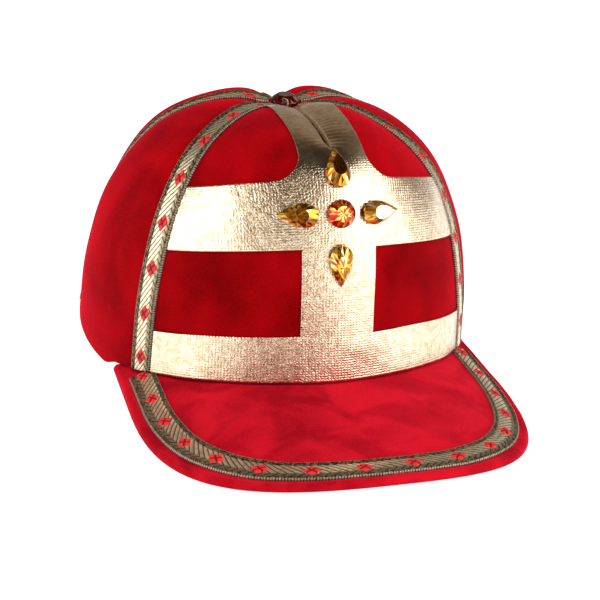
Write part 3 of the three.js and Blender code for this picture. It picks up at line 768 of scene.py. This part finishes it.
def gold_cross():
    """One sheet of foil over a grid whose rows are the cloth's heights and whose columns are its azimuths;
    only the band, the crossbar and the arm are filled. Above the crossbar's middle the rows bend up into
    the round inner corners, by r - sqrt(r * r - d * d) at distance d inside the corner."""
    band, gap, bar, arm = 40, 36, 52, 110
    levels = [way_at(FOIL_FOOT + FOIL), way_at(BAND_TOP), way_at(CROSSBAR_LOW), way_at(CROSSBAR_HIGH)]
    top = way_at_radius(0, BRAID_TOP_RADIUS + 0.4 * MM)
    starts = np.cumsum([0, band, gap, bar, arm])
    ways = np.interp(np.arange(starts[-1] + 1), starts, levels + [top])
    first_bar, last_bar = band + gap, band + gap + bar
    wing, middle_columns, fillet_columns = 110, 90, 16
    seam = np.full_like(ways, FRONT_SEAM)
    half_braid = np.minimum(angle_across(seam, ways, BRAID_WIDTH / 2), BRAID_SPREAD)
    seam_side = FRONT_SEAM - half_braid - angle_across(seam, ways, 0.15 * MM + FOIL / 2)
    angles = np.linspace(0, 60, 601)
    spread = crown(angles[:, None], ways[None, :])[..., 0]
    arm_side = np.array([np.interp(ARM_WIDTH / 2, row, angles) for row in spread.T])
    fillet = angle_across(np.zeros_like(ways), ways, ARM_FILLET) / (seam_side - arm_side)
    k = np.arange(wing + 1)[:, None]
    arc = fillet * (1 - np.cos(np.minimum(k / fillet_columns, 1) * np.pi / 2))
    beyond = fillet + (1 - fillet) * (k - fillet_columns) / (wing - fillet_columns)
    share = np.where(k > fillet_columns, beyond, arc)
    into = np.maximum(0, 1 - share / fillet) * ARM_FILLET
    lift = way_at(ARM_FILLET - np.sqrt(np.maximum(0, ARM_FILLET ** 2 - into ** 2)))
    bar_middle = (levels[2] + levels[3]) / 2
    rows = np.arange(len(ways))
    low_part = np.where(ways > bar_middle, ways + lift * (ways - bar_middle) / (levels[3] - bar_middle), ways)
    high_part = levels[3] + lift + (top - levels[3] - lift) * (ways - levels[3]) / (top - levels[3])
    wing_ways = np.where(rows > last_bar, high_part, low_part)
    wing_angles = arm_side + (seam_side - arm_side) * share
    # The arm's own columns reach from one side of it to the other, at the lift of its edge
    s = np.linspace(-1, 1, middle_columns + 1)[1:-1, None]
    s = s * (0.35 + 0.65 * s ** 2)
    azimuth = np.concatenate([-wing_angles[::-1], s * arm_side, wing_angles])
    way = np.concatenate([wing_ways[::-1], np.broadcast_to(wing_ways[:1], (len(s), len(ways))), wing_ways])
    columns = np.arange(azimuth.shape[0] - 1)[:, None]
    in_arm = (columns >= wing) & (columns < wing + middle_columns)
    cell = np.arange(len(ways) - 1)[None, :]
    filled = in_arm | (cell < band) | ((cell >= first_bar) & (cell < last_bar))
    across = np.radians(azimuth) * crown_radius(azimuth, way)
    up = way * FRONT_LENGTH
    base = FOIL_CLEAR + foil_folds(across, up)
    # The foil is turned under at its foot, where it grows thicker
    turned_under = HEM_TURN * np.clip(1 - up / BAND_TOP, 0, 1) * (1 - smoothstep(fold(azimuth), 36, 50))
    outer, inner = crown(azimuth, way, base + FOIL + turned_under), crown(azimuth, way, base)
    piece = shell("foil_cross", outer, inner, [FOIL_CLOTH], np.stack([across, up], -1), filled)
    dress(piece, "gold_cross")


gold_cross()


# Visor

def visor_line(inset, share):
    """A line in plan that keeps inset from the visor's edge: a superellipse from its left side, share -1,
    to its right, share 1."""
    turn = share * np.pi / 2
    across = VISOR_WIDTH / 2 - inset
    ahead = HEM_FRONT + VISOR_REACH - VISOR_CORNER_START - inset
    power = 2 / VISOR_ROUNDNESS
    x = across * np.sign(share) * np.abs(np.sin(turn)) ** power
    y = -VISOR_CORNER_START - ahead * np.abs(np.cos(turn)) ** power
    return np.stack([x, y + AXIS_Y], -1)


def resample(line, count):
    """Points spaced evenly along a line, by its running length. Gives the points and the whole length."""
    run = np.concatenate([[0], np.cumsum(np.linalg.norm(np.diff(line, axis=0), axis=1))])
    places = np.linspace(0, run[-1], count + 1)
    return np.stack([np.interp(places, run, line[:, k]) for k in range(line.shape[1])], -1), run[-1]


def visor_sag(plan):
    """The visor cloth's unevenness at a place in plan, with small puckers in its right corner."""
    flat = np.concatenate([plan, np.zeros(plan.shape[:-1] + (1,))], -1)
    soft = uneven(flat, 21, 14 * MM, 45 * MM, 0.16 * MM)
    corner = np.array([64 * MM, -116 * MM])
    arm = plan - np.array([40 * MM, -96 * MM])
    turn = np.arctan2(arm[..., 1], arm[..., 0])
    near = np.exp(-(np.linalg.norm(plan - corner, axis=-1) / (13 * MM)) ** 2)
    return soft + 0.38 * MM * np.sin(turn * 38) * near


def visor_side(inset):
    """The visor's outline kept back by inset: up one side from the hem, round the front, down the other."""
    front = visor_line(inset, np.linspace(-1, 1, 801))
    hem_x, hem_y = hem_point(QUARTER)
    back = np.interp(0.996 * front[-1, 0], hem_x, hem_y) + AXIS_Y
    left = np.stack([np.full(40, front[0, 0]), np.linspace(back, front[0, 1], 41)[:-1]], -1)
    right = left[::-1] * [-1, 1]
    return np.concatenate([left, front, right])


def visor():
    """A board ruled from the hem to its rim: along each ruling the top follows the arch, turns round the
    rim in a half circle and comes back below. The margin outside the braid stands a little proud."""
    count = 260
    edge = visor_side(0.0)
    edge = edge[edge[:, 1] < edge[0, 1] - 2 * MM]
    rim, _ = resample(edge, count)
    hem_x, hem_y = hem_point(np.linspace(-1, 1, count + 1) * (VISOR_END - 1))
    inside = 1 - CLOTH / np.hypot(hem_x, hem_y)
    root = np.stack([hem_x * inside, hem_y * inside + AXIS_Y], -1)
    half = VISOR_THICKNESS / 2
    length = np.linalg.norm(rim - root, axis=1)[:, None]
    direction = ((rim - root) / length)[:, None, :]
    above, round_rim, below = np.linspace(1, 0, 91)[:-1], np.linspace(1, -1, 13), np.linspace(0, 1, 61)[1:]
    inward = np.concatenate([above ** 1.3, np.zeros_like(round_rim), below])
    turn = np.concatenate([np.ones_like(above), round_rim, -np.ones_like(below)]) * np.pi / 2
    from_rim = half + inward[None, :] * (length - half) - half * np.cos(turn)[None, :]
    plan = rim[:, None, :] - direction * from_rim[..., None]
    margin = BRAID_MARGIN - 0.4 * MM
    under = margin + BRAID_WIDTH
    below_braid = smoothstep(from_rim, margin, margin + MM)
    below_braid *= 1 - smoothstep(from_rim, under, under + 3 * MM)
    pad = 0.4 * MM * np.sin(np.pi * np.clip(from_rim / margin, 0, 1)) - 0.25 * MM * below_braid
    relief = (pad + visor_sag(plan)) * np.clip(np.sin(turn), 0, 1)[None, :]
    z = visor_top(plan[..., 0]) - half + half * np.sin(turn)[None, :] + relief
    sections = np.concatenate([plan, z[..., None]], -1)
    dress(loft("velvet_visor", sections, VISOR_VELVET), "visor")


visor()


def visor_braid():
    """The same braid carried round the visor, its middle line a fixed way in from the edge. The long side
    of its wires lies towards the crown."""
    line = visor_side(BRAID_MARGIN + BRAID_WIDTH / 2)
    line = line[line[:, 1] < line[0, 1] - 2.2 * MM]
    _, length = resample(line, 100)
    steps = int(length / (0.21 * MM))
    middle, _ = resample(line, steps)
    tangent = np.gradient(middle, axis=0)
    tangent /= np.linalg.norm(tangent, axis=1, keepdims=True)
    sideways = np.stack([-tangent[:, 1], tangent[:, 0]], -1)

    def place(across, along, lift):
        plan = middle[:, None, :] - sideways[:, None, :] * across[..., None]
        z = visor_top(plan[..., 0]) + visor_sag(plan) - 0.2 * MM + lift
        return np.concatenate([plan, z[..., None]], -1)

    sections, uv = braid_sections(steps, length, DIAMOND_FIRST_VISOR, place)
    dress(loft("trim_visor_braid", sections, BRAID, uv), "visor_braid")


visor_braid()


# Cut stones

def drop_outline(turn):
    """A pear: pointed at turn 0 and round at turn 180, half width sin(turn) * sin(|turn| / 2)."""
    turn = (turn + np.pi) % (2 * np.pi) - np.pi
    width = np.sin(turn) * np.sin(np.abs(turn) / 2) / 0.77
    return np.stack([DROP_LENGTH / 2 * np.cos(turn), DROP_WIDTH / 2 * width], -1)


def round_outline(radius):
    return lambda turn: radius * np.stack([np.cos(turn), np.sin(turn)], -1)


def stone_mesh(outline, height, seed, painted_table_glint, sides=16):
    """Rings of points: the back, the girdle with twice the points, the kites' corners, the table's edge, an
    inner star and the centre. Facets join each ring to the next; each gets a seeded brightness, its painted
    reflection, and the table's facets get it scaled by the given factor, a painted glint."""
    step = 2 * np.pi / sides
    even = np.arange(sides) * step
    double = np.arange(2 * sides) * step / 2
    rings = [
        (even, 0.8, 0.0), (double, 1.0, 0.2), (double, 0.985, 0.32), (even + step / 2, 0.78, 0.7),
        (even, 0.56, 1.0), (even + step / 2, 0.3, 0.995),
    ]
    points, starts = [], []
    for turns, scale, level in rings:
        starts.append(sum(len(p) for p in points))
        flat = outline(turns) * scale
        points.append(np.column_stack([flat, np.full(len(turns), level * height)]))
    vertices = np.concatenate(points + [[[0, 0, 0.995 * height], [0, 0, 0]]])
    top_centre, back_centre = len(vertices) - 2, len(vertices) - 1
    k = np.arange(sides)
    n = (k + 1) % sides
    back, low, high, kite, table, star = starts
    d, e, f = 2 * k, 2 * k + 1, (2 * k + 2) % (2 * sides)
    belt = np.arange(2 * sides)
    facets = [
        np.stack([np.full(sides, back_centre), back + n, back + k], 1),
        np.stack([back + k, low + e, low + d], 1), np.stack([back + k, back + n, low + e], 1),
        np.stack([back + n, low + f, low + e], 1),
        np.stack([low + belt, low + (belt + 1) % (2 * sides), high + belt], 1),
        np.stack([high + belt, low + (belt + 1) % (2 * sides), high + (belt + 1) % (2 * sides)], 1),
        np.stack([high + d, high + e, kite + k], 1), np.stack([high + e, high + f, kite + k], 1),
        np.stack([high + f, table + n, kite + k], 1), np.stack([kite + k, table + n, table + k], 1),
        np.stack([high + d, kite + k, table + k], 1),
        np.stack([table + k, table + n, star + k], 1), np.stack([star + k, table + n, star + n], 1),
        np.stack([star + k, star + n, np.full(sides, top_centre)], 1),
    ]
    faces = np.concatenate(facets)
    dice = np.random.default_rng(seed)
    # Each facet's seeded brightness is a painted reflection: the glass's ramp turns it from dark to a painted
    # glint
    painted_glint = dice.uniform(0.15, 1.0, len(faces)) ** 1.2
    centre = vertices[faces].mean(1)
    in_table = centre[:, 2] > 0.99 * height
    return vertices, faces, np.where(in_table, np.clip(painted_glint * painted_table_glint, 0, 1), painted_glint)


def thread_end(foot):
    """The loose end of the thread that sews the crown's button down: a thin tube that rises and hooks to one
    side, its middle line foot + (-x t cubed, -y t, z (t - t cubed / 4)). Gives points and triangles."""
    t = np.linspace(0, 1, 13)[:, None]
    line = foot + np.array([-1.5, -0.3, 4.2]) * MM * np.hstack([t ** 3, t, t - t ** 3 / 4])
    turns = np.arange(6) * np.pi / 3
    circle = 0.36 * MM * np.stack([np.cos(turns), np.sin(turns), 0 * turns], -1)
    points = (line[:, None, :] + circle[None, :, :]).reshape(-1, 3)
    index = np.arange(len(points)).reshape(13, 6)
    a, b = index[:-1], np.roll(index[:-1], -1, 1)
    c, d = np.roll(index[1:], -1, 1), index[1:]
    sides = np.concatenate([np.stack([a, b, c], -1).reshape(-1, 3), np.stack([a, c, d], -1).reshape(-1, 3)])
    fan = np.array([[0, k + 1, k] for k in range(1, 5)])
    return points, np.concatenate([sides, fan, index[-1][fan[:, ::-1]]])


def cut_stone(name, node, glass, outline, height, seed, place, table, thread=None):
    """A stone stood at its place, a matrix, with each facet's brightness, a painted reflection, kept as an
    attribute. table scales the painted brightness of the facets on top, and thread is the mesh of the crown
    stone's loose thread end."""
    vertices, faces, painted_glint = stone_mesh(outline, height, seed, table)
    facets = len(faces)
    if thread is not None:
        points, triangles = thread
        faces = np.concatenate([faces, triangles + len(vertices)])
        vertices = np.concatenate([vertices, points])
        painted_glint = np.concatenate([painted_glint, np.zeros(len(triangles))])
    placed = vertices @ place[:3, :3].T + place[:3, 3]
    finishes = [glass] if thread is None else [glass, THREAD]
    piece = build(name, placed, [faces], finishes, None, np.arange(len(faces)) >= facets)
    piece.data.polygons.foreach_set("use_smooth", np.zeros(len(faces), bool))
    attribute = piece.data.attributes.new("facet", "FLOAT", "FACE")
    attribute.data.foreach_set("value", painted_glint.astype(np.float32))
    return dress(piece, node)


def seat(azimuth, height, pointing):
    """Where a stone sits on the foil: its own X is its point, turned from straight up, clockwise seen from
    in front, and its own Z is the cloth's outward direction."""
    azimuth, way = np.array(float(azimuth)), np.array(way_at(height))
    normal = crown_normal(azimuth, curve_parameter(azimuth, way))
    upward = crown(azimuth, way + 0.01) - crown(azimuth, way - 0.01)
    sideways = np.cross(upward, normal)
    sideways /= np.linalg.norm(sideways)
    up = np.cross(normal, sideways)
    turn = np.radians(pointing)
    ahead = up * np.cos(turn) + sideways * np.sin(turn)
    place = np.eye(4)
    place[:3, :3] = np.stack([ahead, np.cross(normal, ahead), normal], 1)
    place[:3, 3] = crown(azimuth, way, STONE_BASE - 0.5 * MM)
    return place


MIDDLE = (CROSSBAR_LOW + CROSSBAR_HIGH) / 2
SIDE_ANGLE = float(angle_across(np.array(0.0), np.array(way_at(MIDDLE)), SIDE_DROP_DISTANCE))
# The last number scales each drop's painted glint on its table: at 5 the right drop's table is painted white,
# a painted highlight
for name, azimuth, height, pointing, seed, table in (
    ("stone_top", 0, MIDDLE + TOP_DROP_DISTANCE, 0, 5, 0.15),
    ("stone_bottom", 0, MIDDLE - BOTTOM_DROP_DISTANCE, 180, 6, 1.0),
    ("stone_right", SIDE_ANGLE, MIDDLE, 90, 7, 5.0), ("stone_left", -SIDE_ANGLE, MIDDLE, -90, 8, 0.7),
):
    place = seat(azimuth, height, pointing)
    cut_stone("gem_" + name, name, AMBER, drop_outline, DROP_HEIGHT, seed, place, table)
# The ruby's and the crown stone's last numbers scale their tables' painted glints too
cut_stone("gem_stone_center", "stone_center", RUBY, round_outline(ROUND_STONE_RADIUS),
          ROUND_STONE_HEIGHT, 9, seat(0, MIDDLE, 0), 1.3)
crown_place = np.eye(4)
crown_place[:3, 3] = [0, AXIS_Y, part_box("crown_stone")[0][2]]
loose_end = thread_end(np.array([-0.6 * MM, -CROWN_STONE_RADIUS - 0.1 * MM, 0.2 * MM]))
cut_stone("gem_crown_stone", "crown_stone", GARNET, round_outline(CROWN_STONE_RADIUS),
          CROWN_STONE_HEIGHT, 10, crown_place, 0.9, loose_end)


# Floor, light and camera

floor_finish = Finish("pale floor", {
    "Roughness": 0.8, "Base Color": rgb(0.5, 0.5, 0.5),
    "Emission Color": rgb(1, 1, 1), "Emission Strength": 0.92,
})
bpy.ops.mesh.primitive_plane_add(size=6)
floor = bpy.context.active_object
floor.name = "floor"
floor.data.materials.append(floor_finish.material)


def studio_world():
    """White where it is seen, and elsewhere a dim room: warm walls under a dark ceiling."""
    world = bpy.data.worlds.new("studio")
    bpy.context.scene.world = world
    world.use_nodes = True
    tree = world.node_tree
    background = tree.nodes["Background"]
    places = tree.nodes.new("ShaderNodeTexCoord")
    height = tree.nodes.new("ShaderNodeSeparateXYZ")
    ramp = tree.nodes.new("ShaderNodeValToRGB")
    seen = tree.nodes.new("ShaderNodeLightPath")
    mix = tree.nodes.new("ShaderNodeMix")
    mix.data_type = "RGBA"
    stops = ramp.color_ramp.elements
    stops[0].color, stops[1].color = rgb(0.33, 0.28, 0.23), rgb(0.045, 0.03, 0.02)
    stops[0].position, stops[1].position = 0.3, 0.84
    for place, colour in ((0.58, rgb(0.28, 0.21, 0.15)), (0.75, rgb(0.11, 0.075, 0.045))):
        stops.new(place).color = colour
    tree.links.new(places.outputs["Generated"], height.inputs[0])
    tree.links.new(height.outputs[2], ramp.inputs[0])
    tree.links.new(seen.outputs["Is Camera Ray"], mix.inputs[0])
    tree.links.new(ramp.outputs[0], mix.inputs[6])
    mix.inputs[7].default_value = rgb(1, 1, 1)
    tree.links.new(mix.outputs[2], background.inputs["Color"])
    background.inputs["Strength"].default_value = 1.0


studio_world()
bpy.context.scene.view_settings.view_transform = "Standard"

for name, spot, width, height, power in (
    ("left softbox", (-1.35, -0.02, 0.4), 1.2, 1.3, 13), ("right softbox", (0.93, -0.87, 0.59), 1.9, 1.8, 27),
    ("top softbox", (-0.3, -0.3, 1.6), 1.0, 1.0, 24),
):
    light = bpy.data.lights.new(name, "AREA")
    light.shape, light.size, light.size_y, light.energy = "RECTANGLE", width, height, power
    lamp = bpy.data.objects.new(name, light)
    lamp.visible_glossy = name != "top softbox"
    back = np.array(spot) / np.linalg.norm(spot)
    side = np.cross([0, 0, 1], back)
    side /= np.linalg.norm(side)
    lamp.matrix_world = Matrix(np.vstack([
        np.column_stack([side, np.cross(back, side), back, spot]), [0, 0, 0, 1]]).tolist())
    bpy.context.scene.collection.objects.link(lamp)

# The photograph's camera, solved from the crown's seams, the cross and the visor
camera_data = bpy.data.cameras.new("camera")
camera_data.lens, camera_data.sensor_width = 85.1, 36
camera = bpy.data.objects.new("camera", camera_data)
right, up, back = (0.95606, -0.28525, 0.06765), (0.06283, 0.42477, 0.90312), (-0.28635, -0.85919, 0.42403)
spot = (-0.1779, -0.5416, 0.2935)
camera.matrix_world = Matrix([[r, u, b, s] for r, u, b, s in zip(right, up, back, spot)] + [[0, 0, 0, 1]])
bpy.context.scene.collection.objects.link(camera)
bpy.context.scene.camera = camera
